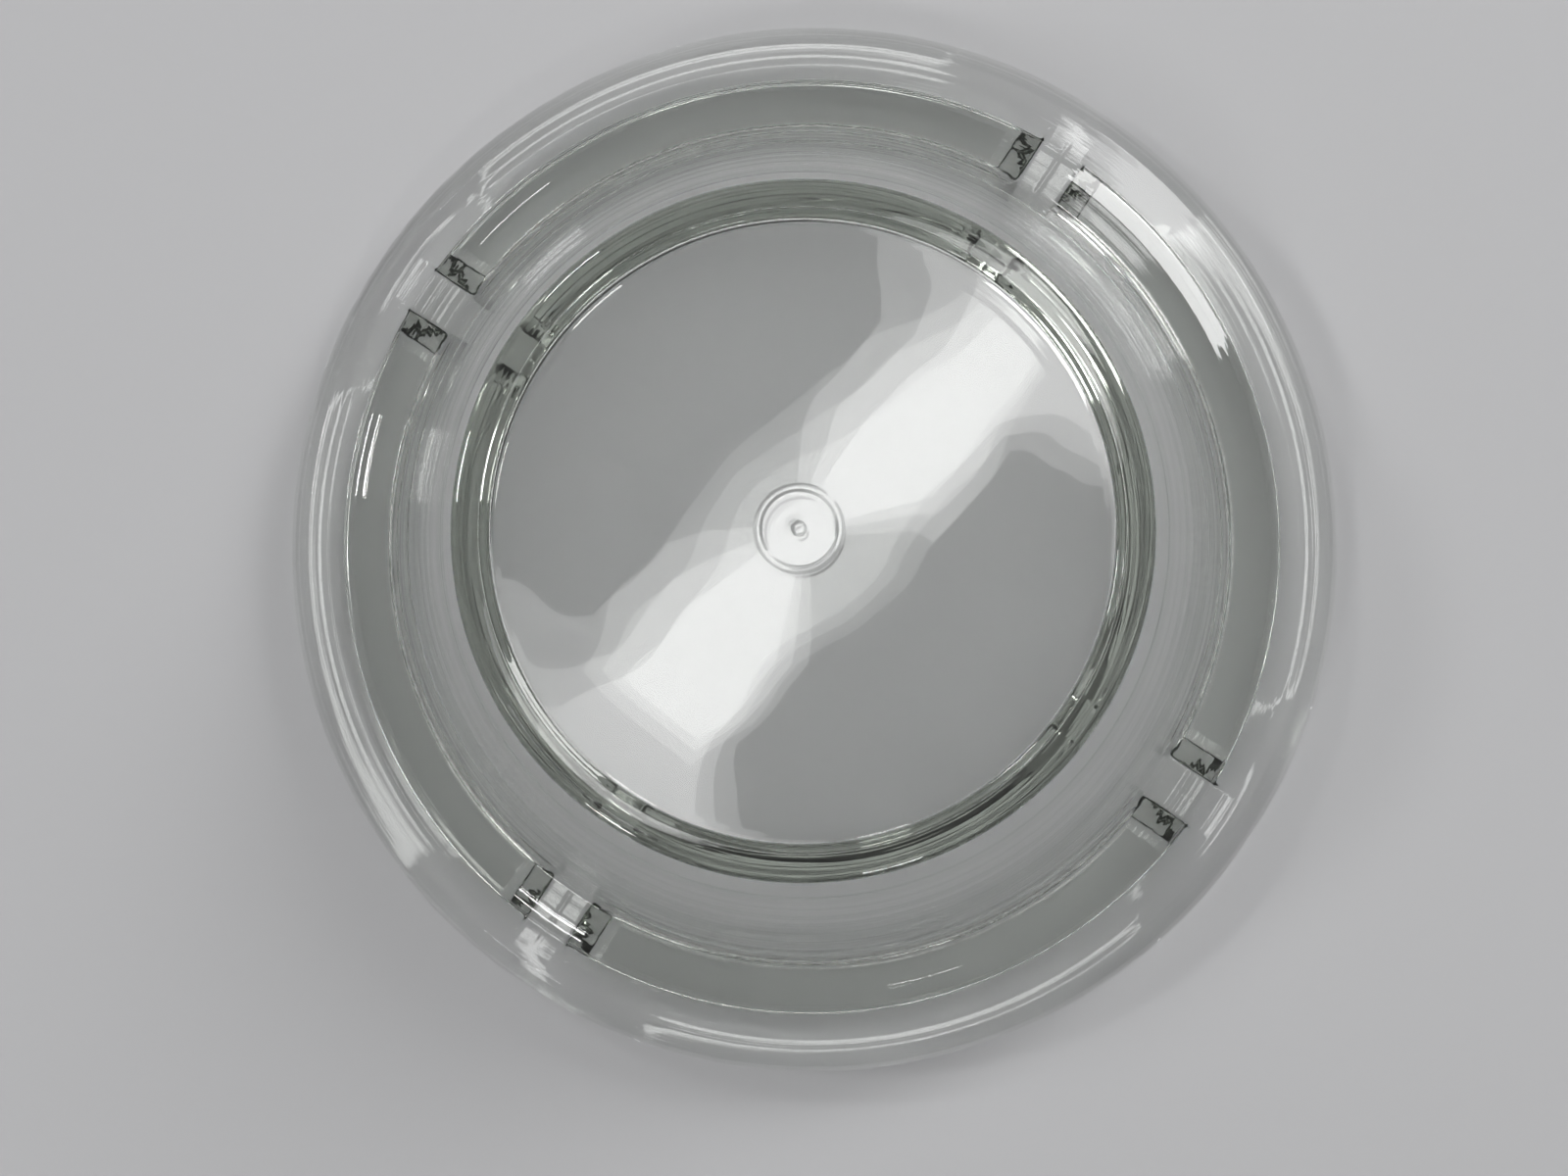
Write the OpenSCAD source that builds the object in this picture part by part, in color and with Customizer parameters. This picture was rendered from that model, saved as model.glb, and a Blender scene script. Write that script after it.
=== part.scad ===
// Round pressed-glass dish with four rests in its rim, lying mouth down.
// Z = 0 is the plane that the mouth rests on, and the foot faces up.
// The whole dish is one pressing: each module below is one region of it,
// and neighbouring regions meet face to face.

/* [Overall] */
// Diameter over the lip
rim_d = 107.4; // [85:0.2:130]
// Height from the mouth's face to the foot's face
dish_h = 23; // [19:0.5:30]

/* [Foot and well] */
// Outer diameter of the foot
foot_d = 62; // [52:0.5:74]
// Width of the ring that the dish stands on when it is turned over
foot_ring_w = 3.1; // [2.4:0.1:5]
// Depth of the recess inside the foot ring
foot_recess = 0.6; // [0.3:0.1:1.2]
// Radius on the foot's outer edge
foot_round = 1.6; // [0.6:0.1:2]
// Thickness of the glass under the well
floor_t = 4.4; // [3.5:0.1:6]
// Thickness of the side wall
wall_t = 4.4; // [3.2:0.1:5.4]
// Radius in the corner between the well's floor and its wall
well_round = 3; // [1.5:0.1:5]

/* [Rim] */
// Thickness of the rim ring where the side wall joins it
ring_t = 8.7; // [7.5:0.1:10]
// How far the shoulder falls from the side wall to its outer edge
shoulder_fall = 1.1; // [0.6:0.1:1.6]
// Width of the shoulder behind the rim ring
shoulder_w = 5; // [4:0.1:7]
// Width of the sloping outer band of the shoulder
shoulder_bevel = 2; // [1:0.1:3]
// Distance from the shoulder's edge out to the ring's outer face
step_w = 1; // [0.6:0.1:2]
// Radius on the mouth's inner edge
mouth_round = 1; // [0.4:0.1:1.8]

/* [Flange and lip] */
// Width of the flat flange from the rim ring to where the lip starts
flange_w = 3.3; // [2:0.1:6]
// Thickness of the flange
flange_t = 4.2; // [3.5:0.1:5]
// How far the flange's mouth side lies back from the rim ring's face
flange_drop = 2.4; // [1:0.1:3]
// Width of the lip, from the end of the flange to the rim
lip_w = 3.2; // [2.4:0.1:3.6]
// Width and height of the lip's steep outer facet on the back
lip_side_w = 0.7; // [0.4:0.1:1]
lip_bevel_h = 1.5; // [1:0.1:1.7]
// Width and height of the lip's facet on the front
lip_front_w = 0.9; // [0.6:0.1:1.4]
lip_front_h = 1; // [0.6:0.1:1.2]

/* [Rests] */
// Width of each rest at the rim ring's face
rest_w = 9.7; // [8:0.1:13]
// Width of each rest's floor
rest_floor_w = 4.5; // [3:0.1:6]
// Depth of each rest
rest_depth = 3.7; // [3:0.1:4.5]
// Radius of the wide scallop that opens each rest out through the lip
scallop_r = 61; // [45:1:90]
// Distance from the rim ring out to where the scallop's floor starts
scallop_start = 1.4; // [0.4:0.1:2.6]
// Slope of the scallop's floor towards the lip, in degrees
scallop_slope = 9.2; // [6:0.2:14]
// Slope of the scallop's inner wall, in degrees
scallop_wall = 34; // [26:1:44]

/* [Hidden] */

$fn = 96;
rest_count = 4;
arc_steps = 6;
// How far cutters run past the glass
over = 1;
// Larger than the whole section
far = 200;

// Radii and levels, from the lip inwards
rim_r = rim_d / 2;
lip_r = rim_r - lip_w;
ring_r = lip_r - flange_w;
shoulder_r = ring_r - step_w;
flange_back = flange_drop + flange_t;

// The side wall's outer line, from the shoulder's inner edge to the foot
foot_r = foot_d / 2;
wall_top = [shoulder_r - shoulder_w, ring_t];
wall_foot = [foot_r, dish_h - foot_round];
wall_slope = atan2(wall_top[0] - wall_foot[0], wall_foot[1] - wall_top[1]);
along_wall = [-sin(wall_slope), cos(wall_slope)];
into_well = [-cos(wall_slope), -sin(wall_slope)];

// The well's wall is the same line, one wall thickness inwards
well_top = wall_top + wall_t * into_well;
function well_r_at(z) = well_top[0] - (z - well_top[1]) * tan(wall_slope);
floor_z = dish_h - foot_recess - floor_t;
round_z = floor_z - well_round * (1 - sin(wall_slope));
round_start = [well_r_at(round_z), round_z];
round_mid = round_start + well_round * into_well;

// The rounded inner edge of the mouth
mouth_mid_z = mouth_round;
mouth_mid = [well_r_at(mouth_mid_z) - mouth_round * into_well[0]
             - mouth_round * into_well[1] * tan(wall_slope), mouth_mid_z];

// The foot ring's inner edge
recess_r = foot_r - foot_ring_w;

function arc(mid, r, from, to) =
    [for (i = [0:arc_steps]) let (a = from + (to - from) * i / arc_steps)
        mid + r * [cos(a), sin(a)]];

// Half of the dish's section, without the rests
module section() {
    polygon(concat(
        [[0, dish_h - foot_recess], [recess_r - foot_recess, dish_h - foot_recess]],
        [[recess_r, dish_h]],
        arc([foot_r - foot_round, dish_h - foot_round], foot_round, 90, wall_slope),
        [wall_top, [shoulder_r - shoulder_bevel, ring_t - shoulder_fall / 3]],
        [[shoulder_r, ring_t - shoulder_fall], [shoulder_r + step_w / 2, flange_back]],
        [[lip_r, flange_back], [rim_r - lip_side_w, flange_back - lip_bevel_h]],
        [[rim_r, flange_drop + lip_front_h], [rim_r - lip_front_w, flange_drop]],
        [[ring_r, flange_drop], [ring_r, 0]],
        arc(mouth_mid, mouth_round, -90, -180 + wall_slope),
        arc(round_mid, well_round, wall_slope, 90),
        [[0, floor_z]]
    ));
}

// The band of the section on the mouth's side of a cut across the side wall
module below_cut(start) {
    polygon([start - far * into_well, start + far * into_well,
             start + far * into_well - far * along_wall,
             start - far * into_well - far * along_wall]);
}

// The part of the section between two radii
module between(r_in, r_out) {
    translate([r_in, -far]) square([r_out - r_in, 2 * far]);
}

module at_each_rest() {
    for (i = [0:rest_count - 1]) rotate(i * 360 / rest_count) children();
}

// The groove across the rim ring that holds whatever lies in the rest
module groove() {
    side = (rest_w - rest_floor_w) / 2 / rest_depth;
    mouth_w = rest_w / 2 + side * over;
    translate([well_top[0] - over, 0, 0]) rotate([90, 0, 90])
        linear_extrude(rim_r - well_top[0] + 2 * over)
            polygon([[-mouth_w, -over], [mouth_w, -over],
                     [rest_floor_w / 2, rest_depth], [-rest_floor_w / 2, rest_depth]]);
}

// A long round bar under a line that rises outwards from the groove's floor
module sloping_bar(slope) {
    length = far / 2;
    translate([ring_r + scallop_start, 0, rest_depth]) rotate([0, -slope, 0])
        translate([-length / 2, 0, -scallop_r]) rotate([0, 90, 0])
            cylinder(r = scallop_r, h = length, $fn = 128);
}

// The scallop that opens the groove out through the flange and the lip
module scallop() {
    intersection() {
        sloping_bar(scallop_wall);
        sloping_bar(scallop_slope);
    }
}

module base_plate() {
    color([0.80, 0.86, 0.83, 0.6]) rotate_extrude() intersection() {
        section();
        between(0, round_mid[0]);
    }
}

module foot_ring() {
    color([0.72, 0.82, 0.78, 0.6]) rotate_extrude() difference() {
        section();
        between(-over, round_mid[0]);
        below_cut(round_start);
    }
}

module side_wall() {
    color([0.76, 0.84, 0.80, 0.6]) rotate_extrude() difference() {
        intersection() {
            section();
            below_cut(round_start);
        }
        below_cut(well_top);
    }
}

module rim_ring() {
    color([0.70, 0.80, 0.75, 0.6]) difference() {
        rotate_extrude() intersection() {
            section();
            below_cut(well_top);
            between(0, ring_r);
        }
        at_each_rest() groove();
    }
}

module flange() {
    color([0.78, 0.86, 0.82, 0.6]) difference() {
        rotate_extrude() translate([ring_r, flange_drop]) square([flange_w, flange_t]);
        at_each_rest() groove();
        at_each_rest() scallop();
    }
}

module lip() {
    color([0.74, 0.83, 0.79, 0.6]) difference() {
        rotate_extrude() intersection() {
            section();
            between(lip_r, rim_r + over);
        }
        at_each_rest() groove();
        at_each_rest() scallop();
    }
}

base_plate();
foot_ring();
side_wall();
rim_ring();
flange();
lip();
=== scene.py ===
"""A round pressed-glass dish with four rests, lying mouth down on a pale floor."""
import math

import bpy
from mathutils import Euler, Matrix, Vector


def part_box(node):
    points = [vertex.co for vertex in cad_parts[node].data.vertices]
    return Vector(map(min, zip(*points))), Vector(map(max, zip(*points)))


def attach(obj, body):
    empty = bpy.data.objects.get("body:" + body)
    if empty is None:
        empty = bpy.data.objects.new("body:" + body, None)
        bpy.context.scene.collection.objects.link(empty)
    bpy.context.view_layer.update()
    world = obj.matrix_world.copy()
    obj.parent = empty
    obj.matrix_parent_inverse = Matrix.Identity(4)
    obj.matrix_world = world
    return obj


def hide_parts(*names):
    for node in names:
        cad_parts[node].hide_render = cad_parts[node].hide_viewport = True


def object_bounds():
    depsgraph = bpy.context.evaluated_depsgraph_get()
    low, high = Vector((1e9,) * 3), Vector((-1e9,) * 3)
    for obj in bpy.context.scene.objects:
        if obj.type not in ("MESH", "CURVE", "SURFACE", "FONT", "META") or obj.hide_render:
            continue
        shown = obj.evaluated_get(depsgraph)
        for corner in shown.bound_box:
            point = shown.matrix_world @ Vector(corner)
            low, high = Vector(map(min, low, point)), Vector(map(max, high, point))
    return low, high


bl_info = {
    "name": "Pressed Glass Dish",
    "version": (1, 0, 0),
    "blender": (4, 5, 0),
    "location": "View3D > Sidebar > Glass Dish",
    "description": "Builds a round pressed-glass dish with rests in its rim, and a plain stage for it",
    "category": "Object",
}

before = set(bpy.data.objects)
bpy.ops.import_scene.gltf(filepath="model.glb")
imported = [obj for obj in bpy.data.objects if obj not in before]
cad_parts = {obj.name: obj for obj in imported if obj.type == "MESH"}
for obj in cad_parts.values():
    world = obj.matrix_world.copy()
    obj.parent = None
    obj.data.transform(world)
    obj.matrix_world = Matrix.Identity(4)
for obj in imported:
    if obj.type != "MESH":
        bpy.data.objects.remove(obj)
CAD_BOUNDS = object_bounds()

MM = 0.001
GLASS_NODES = ("base_plate", "foot_ring", "side_wall", "rim_ring", "flange", "lip")
REST_COUNT = 4
QUARTER = 360 / REST_COUNT


# ---------------------------------------------------------------- sizes from the frame

def node_levels(node):
    """Lowest and highest level of a CAD node."""
    low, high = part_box(node)
    return low.z, high.z


def node_radii(node):
    """Smallest and largest distance of a CAD node's corners from the dish's axis."""
    radii = [math.hypot(v.co.x, v.co.y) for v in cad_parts[node].data.vertices]
    return min(radii), max(radii)


LIP_R, RIM_R = node_radii("lip")
RING_R = node_radii("rim_ring")[1]
FLANGE_FRONT, FLANGE_BACK = node_levels("flange")
RING_T = node_levels("rim_ring")[1]
FLOOR_Z, RECESS_Z = node_levels("base_plate")
DISH_H = node_levels("foot_ring")[1]


# ---------------------------------------------------------------- settings

def length_prop(name, text, value, low=0.0):
    """A length in metres that a user may change."""
    return bpy.props.FloatProperty(
        name=name, description=text, default=value, min=low, precision=5, subtype="DISTANCE", unit="LENGTH")


def angle_prop(name, text, degrees):
    """An angle that a user may change."""
    return bpy.props.FloatProperty(
        name=name, description=text, default=math.radians(degrees), subtype="ANGLE", unit="ROTATION")


def colour_prop(name, text, value):
    """A colour that a user may change."""
    return bpy.props.FloatVectorProperty(
        name=name, description=text, default=value, size=4, min=0, max=1, subtype="COLOR")


def plain_prop(name, text, value):
    """A bare number that a user may change."""
    return bpy.props.FloatProperty(name=name, description=text, default=value, precision=4)


def count_prop(name, text, value, low):
    """A whole number that a user may change."""
    return bpy.props.IntProperty(name=name, description=text, default=value, min=low)


class GlassDishSizes(bpy.types.PropertyGroup):
    """Sizes of the dish that its outline and its rests are drawn from."""
    foot_r: length_prop("Foot radius", "Outer radius of the foot", 31 * MM)
    foot_ring_w: length_prop("Foot ring width", "Width of the ring that the dish stands on", 3.1 * MM)
    foot_round: length_prop("Foot edge", "Radius on the foot's outer edge", 1.6 * MM)
    recess_slope: length_prop("Recess slope", "Width of the slope down into the recess", 0.6 * MM)
    wall_t: length_prop("Wall thickness", "Thickness of the side wall", 4.4 * MM)
    well_round: length_prop("Well corner", "Radius between the well's floor and its wall", 3 * MM)
    shoulder_w: length_prop("Shoulder width", "Width of the shoulder behind the rim ring", 5 * MM)
    shoulder_bevel: length_prop("Shoulder bevel", "Width of the shoulder's sloping outer band", 2 * MM)
    shoulder_fall: length_prop("Shoulder fall", "How far the shoulder falls to its outer edge", 1.1 * MM)
    step_w: length_prop("Step width", "Distance from the shoulder's edge to the ring's outer face", 1 * MM)
    mouth_round: length_prop("Mouth edge", "Radius on the mouth's inner edge", 1 * MM)
    ring_edge: length_prop("Ring edge", "Radius on the rim ring's outer edge", 0.7 * MM)
    ring_draft: length_prop("Ring draft", "How far the rim ring's outer face leans in", 0.35 * MM)
    lip_side_w: length_prop("Lip side width", "Width of the lip's steep outer facet", 0.7 * MM)
    lip_bevel_h: length_prop("Lip bevel height", "Height of the lip's sloping back facet", 1.5 * MM)
    lip_front_w: length_prop("Lip front width", "Width of the lip's front facet", 0.9 * MM)
    lip_front_h: length_prop("Lip front height", "Height of the lip's front facet", 1 * MM)
    rest_w: length_prop("Rest width", "Width of each rest at the rim ring's face", 9.7 * MM)
    rest_floor_w: length_prop("Rest floor width", "Width of each rest's floor", 4.5 * MM)
    rest_depth: length_prop("Rest depth", "Depth of each rest", 3.7 * MM)
    rest_blend: length_prop("Rest blend", "Softness of the rest's pressed edges", 0.35 * MM)
    scallop_r: length_prop("Scallop radius", "Radius of the scallop through the lip", 61 * MM)
    scallop_at: length_prop("Scallop start", "Distance from the axis where the scallop's floor starts", 48.6 * MM)
    scallop_slope: angle_prop("Scallop slope", "Slope of the scallop's floor towards the lip", 9.2)
    scallop_wall: angle_prop("Scallop wall", "Slope of the scallop's inner wall", 34)
    seam_h: length_prop("Seam height", "Height of the mould seam along each rest", 0.05 * MM)
    seam_w: length_prop("Seam width", "Half width of the mould seam along each rest", 0.14 * MM)
    mark_r: length_prop("Mark radius", "Radius of the plain ring raised on the base", 3.6 * MM)
    mark_h: length_prop("Mark height", "Height of the plain ring and dot raised on the base", 0.07 * MM)
    fine_steps: count_prop("Fine steps", "Steps round the dish over each rest", 128, 8)
    coarse_steps: count_prop("Coarse steps", "Steps round the dish on each side of a rest", 18, 4)
    fine_angle: angle_prop("Fine angle", "Angle round each rest that takes the fine steps", 36)


class GlassDishFinish(bpy.types.PropertyGroup):
    """Optical values of the glass."""
    tint: colour_prop("Tint", "Colour that a long way through the glass turns to", (0.27, 0.40, 0.20, 1))
    tint_density: plain_prop("Tint density", "Strength of the tint per metre", 16.0)
    clearness: plain_prop("Clearness", "Share of the light that goes through rather than scatters", 0.985)
    ior: plain_prop("Refractive index", "Refractive index of soda-lime glass", 1.52)
    gloss: plain_prop("Roughness", "Roughness of the fire-polished surface", 0.012)


class GlassDishStage(bpy.types.PropertyGroup):
    """Floor, lights and camera."""
    floor_size: length_prop("Floor size", "Length of the floor's sides", 3.0)
    floor_colour: colour_prop("Floor colour", "Colour of the floor", (0.53, 0.53, 0.54, 1))
    ceiling_colour: colour_prop("Ceiling colour", "Light from straight above", (0.20, 0.20, 0.20, 1))
    wall_colour: colour_prop("Wall colour", "Light from the sides", (0.04, 0.04, 0.04, 1))
    strip_power: plain_prop("Strip power", "Power of the overhead strips, in watts per metre of width", 6.6)
    window_power: plain_prop("Window power", "Power of the window at the upper right, in watts", 8.5)
    lamp_power: plain_prop("Lamp power", "Power of each lamp round the dish, in watts", 1.6)
    lamp_reach: length_prop("Lamp reach", "Distance of the lamps from the dish's axis", 1.05)
    lens: plain_prop("Lens", "Focal length for a 36 mm sensor", 27.0)
    camera_x: length_prop("Camera side", "Camera's place to the right of the axis in the view", 3.13 * MM, -1)
    camera_y: length_prop("Camera up", "Camera's place above the axis in the view", -8.16 * MM, -1)
    camera_z: length_prop("Camera height", "Camera's height over the floor", 124.15 * MM)
    lean_x: plain_prop("Lean sideways", "How far the camera leans to the side, as a slope", 0.0435)
    lean_y: plain_prop("Lean down", "How far the camera leans down the view, as a slope", 0.0295)
    view_turn: angle_prop("View turn", "Angle from the +X rest to the right of the view", 56.4)


# Lamps round the dish: angle from the +X rest in degrees, height in metres, share of the power
LAMPS = ((130, 0.8, 1.0), (165, 0.7, 1.4), (232, 0.8, 1.0), (285, 0.9, 0.7))
LAMP_SIZE = (0.2, 0.12)
# Overhead strips, one over the other: name, width and length in metres
STRIPS = (("overhead core", 0.10, 1.06), ("overhead middle", 0.14, 1.12), ("overhead edge", 0.18, 1.20))
STRIP_PLACE = Vector((0.19, 0.25, 1.0))
STRIP_ROLL = 45.9
WINDOW_PLACE = (0.88, 0.82, 0.62)
WINDOW_SIZE = (0.6, 0.5)


# ---------------------------------------------------------------- small helpers

def deselect_all():
    if bpy.context.object and bpy.context.object.mode != "OBJECT":
        bpy.ops.object.mode_set(mode="OBJECT")
    bpy.ops.object.select_all(action="DESELECT")


def make_active(piece):
    deselect_all()
    piece.select_set(True)
    bpy.context.view_layer.objects.active = piece


def fillet(before, corner, after, radius, steps):
    """Points of the arc that rounds a corner between two straight stretches."""
    to_before = (before - corner).normalized()
    to_after = (after - corner).normalized()
    half = to_before.angle(to_after) / 2
    reach = radius / math.tan(half)
    start = corner + to_before * reach
    end = corner + to_after * reach
    middle = corner + (to_before + to_after).normalized() * (radius / math.sin(half))
    points = []
    for i in range(steps + 1):
        spoke = (start - middle).slerp(end - middle, i / steps)
        points.append(middle + spoke.normalized() * radius)
    return points


def stretch(start, end, steps):
    """Points along a straight stretch, without its two ends."""
    return [start.lerp(end, i / steps) for i in range(1, steps)]


def outline(corners):
    """A rounded outline from (point, radius, arc steps, steps in the stretch that follows)."""
    points = []
    count = len(corners)
    for i, (corner, radius, arc_steps, _) in enumerate(corners):
        if radius == 0:
            points.append([corner])
        else:
            points.append(fillet(corners[i - 1][0], corner, corners[(i + 1) % count][0], radius, arc_steps))
    line = []
    for i in range(count):
        line += points[i]
        if i + 1 < count and corners[i][3] > 1:
            line += stretch(points[i][-1], points[i + 1][0], corners[i][3])
    return line


# ---------------------------------------------------------------- the dish's section

def dish_outline(sizes):
    """Half of the dish's section as (radius, level) points, from the base's middle round to the well's floor."""
    recess_r = sizes.foot_r - sizes.foot_ring_w
    shoulder_r = RING_R - sizes.step_w
    shoulder_low = RING_T - sizes.shoulder_fall
    wall_top = Vector((shoulder_r - sizes.shoulder_w, RING_T))
    wall_foot = Vector((sizes.foot_r, DISH_H - sizes.foot_round))
    run = wall_top - wall_foot
    slope = math.atan2(run.x, -run.y)
    into_well = Vector((-math.cos(slope), -math.sin(slope)))
    well_top = wall_top + into_well * sizes.wall_t

    def well_r(level):
        return well_top.x - (level - well_top.y) * math.tan(slope)

    def outer_r(level):
        return wall_foot.x + (wall_foot.y - level) * math.tan(slope)

    foot_corner_r = outer_r(DISH_H) + sizes.foot_round * 0.35
    mark_z = RECESS_Z + sizes.mark_h
    mark_half, mark_slope, mark_edge, dot_r = 0.15 * MM, 0.25 * MM, 0.1 * MM, 0.45 * MM
    mark_in, mark_out = sizes.mark_r - mark_half, sizes.mark_r + mark_half
    return outline([
        (Vector((0, mark_z)), 0, 0, 2),
        (Vector((dot_r, mark_z)), mark_edge, 2, 1),
        (Vector((dot_r + mark_slope, RECESS_Z)), mark_edge, 2, 3),
        (Vector((mark_in - mark_slope, RECESS_Z)), mark_edge, 2, 1),
        (Vector((mark_in, mark_z)), mark_edge, 2, 1),
        (Vector((mark_out, mark_z)), mark_edge, 2, 1),
        (Vector((mark_out + mark_slope, RECESS_Z)), mark_edge, 2, 3),
        (Vector((recess_r - sizes.recess_slope, RECESS_Z)), 0.5 * MM, 3, 2),
        (Vector((recess_r, DISH_H)), 0.3 * MM, 3, 2),
        (Vector((foot_corner_r, DISH_H)), sizes.foot_round, 7, 5),
        (wall_top, 0.9 * MM, 5, 2),
        (Vector((shoulder_r - sizes.shoulder_bevel, RING_T - sizes.shoulder_fall / 3)), 1.2 * MM, 3, 2),
        (Vector((shoulder_r, shoulder_low)), 0.3 * MM, 4, 2),
        (Vector((shoulder_r + sizes.step_w / 2, FLANGE_BACK)), 0.4 * MM, 4, 3),
        (Vector((LIP_R, FLANGE_BACK)), 0.3 * MM, 4, 2),
        (Vector((RIM_R - sizes.lip_side_w, FLANGE_BACK - sizes.lip_bevel_h)), 2.4 * MM, 7, 1),
        (Vector((RIM_R, FLANGE_FRONT + sizes.lip_front_h)), 1.0 * MM, 6, 1),
        (Vector((RIM_R - sizes.lip_front_w, FLANGE_FRONT)), 1.0 * MM, 4, 4),
        (Vector((RING_R, FLANGE_FRONT)), 0.4 * MM, 3, 6),
        (Vector((RING_R - sizes.ring_draft, 0)), sizes.ring_edge, 5, 6),
        (Vector((well_r(0), 0)), sizes.mouth_round, 5, 8),
        (Vector((well_r(FLOOR_Z), FLOOR_Z)), sizes.well_round, 8, 3),
        (Vector((0, FLOOR_Z)), 0, 0, 1),
    ])


# ---------------------------------------------------------------- the rests

def soft_max(a, b, softness):
    """The larger of two levels, with the corner between them rounded."""
    return (a + b + math.sqrt((a - b) ** 2 + softness ** 2)) / 2


def groove_level(sizes, off_middle):
    """Level that the rest's groove is pressed to, at a distance from its middle line."""
    side = (sizes.rest_w - sizes.rest_floor_w) / 2 / sizes.rest_depth
    beyond_floor = off_middle - sizes.rest_floor_w / 2
    level = sizes.rest_depth - max(0.0, beyond_floor) / side
    seam = sizes.seam_h * math.exp(-(off_middle / sizes.seam_w) ** 2)
    return level - seam


def scallop_level(sizes, along, off_middle):
    """Level that the scallop is pressed to, at a distance along the rest and from its middle line."""
    beyond = along - sizes.scallop_at
    crown = sizes.rest_depth + beyond * math.tan(sizes.scallop_slope if beyond > 0 else sizes.scallop_wall)
    return crown - (sizes.scallop_r - math.sqrt(sizes.scallop_r ** 2 - off_middle ** 2))


def back_radius(sizes, level):
    """Radius of the lip's back facets at a level."""
    below = FLANGE_BACK - level
    if below < sizes.lip_bevel_h:
        return LIP_R + (RIM_R - sizes.lip_side_w - LIP_R) * below / sizes.lip_bevel_h
    side_h = FLANGE_BACK - sizes.lip_bevel_h - FLANGE_FRONT - sizes.lip_front_h
    return RIM_R - sizes.lip_side_w * max(0.0, 1 - (below - sizes.lip_bevel_h) / side_h)


def press_rests(piece, sizes):
    """Presses the four rests into the mouth's side, as the mould's plunger does."""
    reach = sizes.fine_angle / 2
    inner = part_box("rim_ring")[1].x * 0.78
    for vertex in piece.data.vertices:
        x, y, level = vertex.co
        radius = math.hypot(x, y)
        if radius < inner or level > FLANGE_BACK - 0.4 * MM:
            continue
        turn = math.radians(QUARTER)
        angle = (math.atan2(y, x) + turn / 2) % turn - turn / 2
        if abs(angle) > reach:
            continue
        off_middle = abs(radius * math.sin(angle))
        fade = min(1.0, (reach - abs(angle)) / math.radians(2))
        pressed = groove_level(sizes, off_middle)
        if radius > RING_R + 0.02 * MM:
            pressed = max(pressed, scallop_level(sizes, radius * math.cos(angle), off_middle))
        if pressed < level - 4 * sizes.rest_blend:
            continue
        new_level = soft_max(level, pressed, sizes.rest_blend * 0.8)
        new_level = level + (new_level - level) * fade
        limit = back_radius(sizes, new_level + 0.25 * MM)
        if radius > limit and new_level > level + 0.05 * MM:
            shrink = limit / radius
            vertex.co.x *= shrink
            vertex.co.y *= shrink
        vertex.co.z = new_level


# ---------------------------------------------------------------- material

def glass_material(finish):
    """Clear soda-lime glass with a faint green tint, a slow swell, and fine rings outside the base."""
    material = bpy.data.materials.new("pressed clear glass")
    material.use_nodes = True
    tree = material.node_tree
    nodes, links = tree.nodes, tree.links
    shader = nodes["Principled BSDF"]
    shader.inputs["Base Color"].default_value = (1, 1, 1, 1)
    shader.inputs["Transmission Weight"].default_value = finish.clearness
    shader.inputs["IOR"].default_value = finish.ior
    shader.inputs["Roughness"].default_value = finish.gloss

    place = nodes.new("ShaderNodeTexCoord")
    swell = nodes.new("ShaderNodeTexNoise")
    swell.inputs["Scale"].default_value = 45
    swell.inputs["Detail"].default_value = 1.5
    links.new(place.outputs["Object"], swell.inputs["Vector"])

    flat = nodes.new("ShaderNodeVectorMath")
    flat.operation = "MULTIPLY"
    flat.inputs[1].default_value = (1, 1, 0)
    links.new(place.outputs["Object"], flat.inputs[0])
    radius = nodes.new("ShaderNodeVectorMath")
    radius.operation = "LENGTH"
    links.new(flat.outputs["Vector"], radius.inputs[0])
    rings = nodes.new("ShaderNodeTexNoise")
    rings.noise_dimensions = "1D"
    rings.inputs["Scale"].default_value = 900
    rings.inputs["Detail"].default_value = 2
    links.new(radius.outputs["Value"], rings.inputs["W"])
    outside = nodes.new("ShaderNodeMapRange")
    outside.inputs["From Min"].default_value = 0.85 * finish.id_data.glass_dish_sizes.foot_r
    outside.inputs["From Max"].default_value = finish.id_data.glass_dish_sizes.foot_r
    links.new(radius.outputs["Value"], outside.inputs["Value"])
    ring_height = nodes.new("ShaderNodeMath")
    ring_height.operation = "MULTIPLY"
    links.new(rings.outputs["Fac"], ring_height.inputs[0])
    links.new(outside.outputs["Result"], ring_height.inputs[1])

    swell_bump = nodes.new("ShaderNodeBump")
    swell_bump.inputs["Strength"].default_value = 1.0
    swell_bump.inputs["Distance"].default_value = 0.00016
    links.new(swell.outputs["Fac"], swell_bump.inputs["Height"])

    ring_bump = nodes.new("ShaderNodeBump")
    ring_bump.inputs["Strength"].default_value = 1.0
    ring_bump.inputs["Distance"].default_value = 0.00006
    links.new(ring_height.outputs["Value"], ring_bump.inputs["Height"])
    links.new(swell_bump.outputs["Normal"], ring_bump.inputs["Normal"])
    links.new(ring_bump.outputs["Normal"], shader.inputs["Normal"])

    depth = nodes.new("ShaderNodeVolumeAbsorption")
    depth.inputs["Color"].default_value = finish.tint
    depth.inputs["Density"].default_value = finish.tint_density
    links.new(depth.outputs["Volume"], nodes["Material Output"].inputs["Volume"])
    return material


def floor_material(colour):
    """A plain matt pale floor."""
    material = bpy.data.materials.new("pale floor")
    material.use_nodes = True
    shader = material.node_tree.nodes["Principled BSDF"]
    shader.inputs["Base Color"].default_value = colour
    shader.inputs["Roughness"].default_value = 0.9
    shader.inputs["Specular IOR Level"].default_value = 0.2
    return material


# ---------------------------------------------------------------- operators

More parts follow.
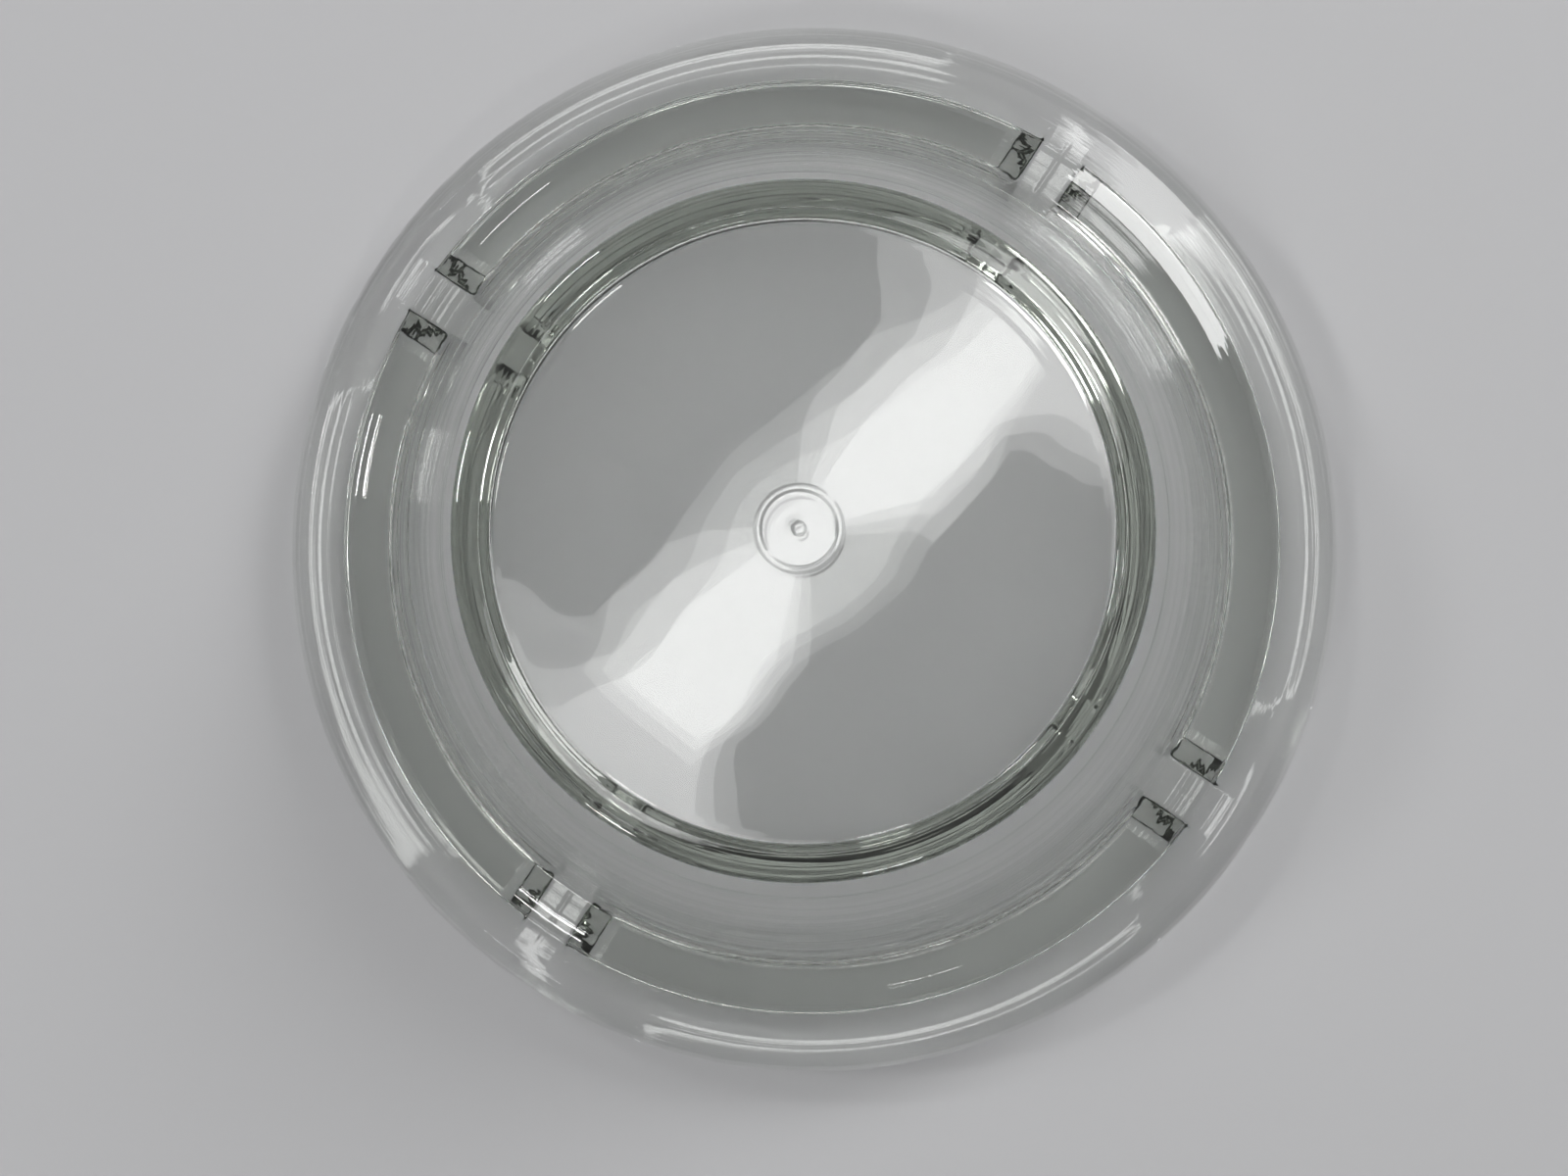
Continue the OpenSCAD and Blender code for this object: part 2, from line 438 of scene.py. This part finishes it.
class GLASSDISH_OT_glass(bpy.types.Operator):
    """Spin the dish's section, press its rests and give it its glass"""
    bl_idname = "glassdish.glass"
    bl_label = "Glass Dish"

    def draw_section(self, points):
        """A chain of edges, extruded point by point on the plane between two rests."""
        start_angle = math.radians(-QUARTER / 2)
        spots = [Vector((p.x * math.cos(start_angle), p.x * math.sin(start_angle), p.y)) for p in points]
        bpy.ops.mesh.primitive_plane_add(size=MM, location=spots[0])
        piece = bpy.context.object
        piece.name = "dish_glass"
        bpy.ops.object.mode_set(mode="EDIT")
        bpy.ops.mesh.merge(type="CENTER")
        for here, there in zip(spots, spots[1:]):
            bpy.ops.mesh.extrude_region_move(TRANSFORM_OT_translate={"value": there - here})
        bpy.ops.mesh.select_all(action="SELECT")
        return piece

    def spin_quarters(self, sizes):
        """Spins the chain a quarter round, with fine steps over the rest, and copies the quarter round."""
        side = (math.radians(QUARTER) - sizes.fine_angle) / 2
        for steps, angle in ((sizes.coarse_steps, side), (sizes.fine_steps, sizes.fine_angle),
                             (sizes.coarse_steps, side)):
            bpy.ops.mesh.spin(steps=steps, angle=-angle, center=(0, 0, 0), axis=(0, 0, 1))
        bpy.ops.mesh.select_all(action="SELECT")
        copies = REST_COUNT - 1
        bpy.ops.mesh.spin(steps=copies, angle=-math.radians(QUARTER) * copies, dupli=True,
                          center=(0, 0, 0), axis=(0, 0, 1))

    def execute(self, context):
        sizes = context.scene.glass_dish_sizes
        deselect_all()
        piece = self.draw_section(dish_outline(sizes))
        self.spin_quarters(sizes)
        bpy.ops.mesh.select_all(action="SELECT")
        bpy.ops.mesh.remove_doubles(threshold=0.002 * MM)
        bpy.ops.mesh.normals_make_consistent(inside=False)
        bpy.ops.object.mode_set(mode="OBJECT")
        make_active(piece)
        bpy.ops.object.transform_apply(location=True, rotation=True, scale=True)
        press_rests(piece, sizes)
        bpy.ops.object.shade_smooth()
        piece.data.materials.append(glass_material(context.scene.glass_dish_finish))
        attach(piece, "root")
        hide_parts(*GLASS_NODES)
        return {"FINISHED"}


class GLASSDISH_OT_stage(bpy.types.Operator):
    """Lay the pale floor and set the soft lights and the camera"""
    bl_idname = "glassdish.stage"
    bl_label = "Stage"

    def add_floor(self, stage):
        bpy.ops.mesh.primitive_plane_add(size=stage.floor_size, location=(0, 0, CAD_BOUNDS[0].z))
        floor = bpy.context.object
        floor.name = "stage_floor"
        floor.data.materials.append(floor_material(stage.floor_colour))

    def add_softbox(self, name, turn, place, size, roll, power, shaded=True):
        """A soft rectangular light that faces the dish, or straight down when it is rolled.

        Its place is given in the view's directions, which turn takes to the dish's own.
        """
        bpy.ops.object.light_add(type="AREA")
        light = bpy.context.object
        light.name = name
        light.data.shape = "RECTANGLE"
        light.data.size, light.data.size_y = size
        light.data.energy = power
        light.data.use_shadow = shaded
        spot = turn @ Vector(place)
        if roll:
            facing = (turn @ Euler((0, 0, math.radians(roll))).to_matrix()).to_quaternion()
        else:
            facing = (-spot).to_track_quat("-Z", "Y")
        light.location = spot
        light.rotation_euler = facing.to_euler()

    def add_camera(self, stage):
        turn = Matrix.Rotation(-stage.view_turn, 3, "Z")
        down = Vector((stage.lean_x, -stage.lean_y, -1)).normalized()
        lean = down.rotation_difference(Vector((0, 0, -1))).to_matrix()
        bpy.ops.object.camera_add(location=turn @ Vector((stage.camera_x, stage.camera_y, stage.camera_z)))
        camera = bpy.context.object
        camera.name = "camera"
        camera.rotation_euler = (turn @ lean).to_euler()
        camera.data.sensor_width = 36
        camera.data.lens = stage.lens
        camera.data.clip_start = 0.005
        bpy.context.scene.camera = camera

    def add_world(self, stage):
        """A dim room that is a little lighter overhead than round the sides."""
        world = bpy.data.worlds.new("dim room")
        bpy.context.scene.world = world
        world.use_nodes = True
        nodes, links = world.node_tree.nodes, world.node_tree.links
        place = nodes.new("ShaderNodeTexCoord")
        split = nodes.new("ShaderNodeSeparateXYZ")
        ramp = nodes.new("ShaderNodeValToRGB")
        links.new(place.outputs["Generated"], split.inputs["Vector"])
        links.new(split.outputs["Z"], ramp.inputs["Fac"])
        ramp.color_ramp.elements[0].color = stage.wall_colour
        ramp.color_ramp.elements[1].color = stage.ceiling_colour
        links.new(ramp.outputs["Color"], nodes["Background"].inputs["Color"])

    def execute(self, context):
        stage = context.scene.glass_dish_stage
        deselect_all()
        self.add_floor(stage)
        turn = Matrix.Rotation(-stage.view_turn, 3, "Z")
        for name, width, length in STRIPS:
            place = STRIP_PLACE + Vector((-width / 8, width / 8, width / 10))
            self.add_softbox(name, turn, place, (length, width), STRIP_ROLL, stage.strip_power * width, False)
        self.add_softbox("window", turn, WINDOW_PLACE, WINDOW_SIZE, 0, stage.window_power)
        for azimuth, height, share in LAMPS:
            spot = Euler((0, 0, math.radians(azimuth))).to_matrix() @ Vector((stage.lamp_reach, 0, height))
            self.add_softbox("lamp", turn, spot, LAMP_SIZE, 0, stage.lamp_power * share)
        self.add_camera(stage)
        self.add_world(stage)
        context.scene.view_settings.view_transform = "Standard"
        context.scene.view_settings.look = "Medium High Contrast"
        return {"FINISHED"}


class GLASSDISH_PT_panel(bpy.types.Panel):
    """Glass dish tools"""
    bl_idname = "GLASSDISH_PT_panel"
    bl_label = "Glass Dish"
    bl_space_type = "VIEW_3D"
    bl_region_type = "UI"
    bl_category = "Glass Dish"

    def draw(self, context):
        for group in (context.scene.glass_dish_sizes, context.scene.glass_dish_finish,
                      context.scene.glass_dish_stage):
            box = self.layout.box()
            for name in group.__annotations__:
                box.prop(group, name)
        for operator in OPERATORS:
            self.layout.operator(operator.bl_idname)


SETTINGS = {
    "glass_dish_sizes": GlassDishSizes,
    "glass_dish_finish": GlassDishFinish,
    "glass_dish_stage": GlassDishStage,
}
OPERATORS = (GLASSDISH_OT_glass, GLASSDISH_OT_stage)
CLASSES = (*SETTINGS.values(), *OPERATORS, GLASSDISH_PT_panel)


def register():
    for cls in CLASSES:
        bpy.utils.register_class(cls)
    for name, group in SETTINGS.items():
        setattr(bpy.types.Scene, name, bpy.props.PointerProperty(type=group))


def unregister():
    for name in SETTINGS:
        delattr(bpy.types.Scene, name)
    for cls in reversed(CLASSES):
        bpy.utils.unregister_class(cls)


def main():
    register()
    bpy.ops.glassdish.glass()
    bpy.ops.glassdish.stage()


if __name__ == "__main__":
    main()
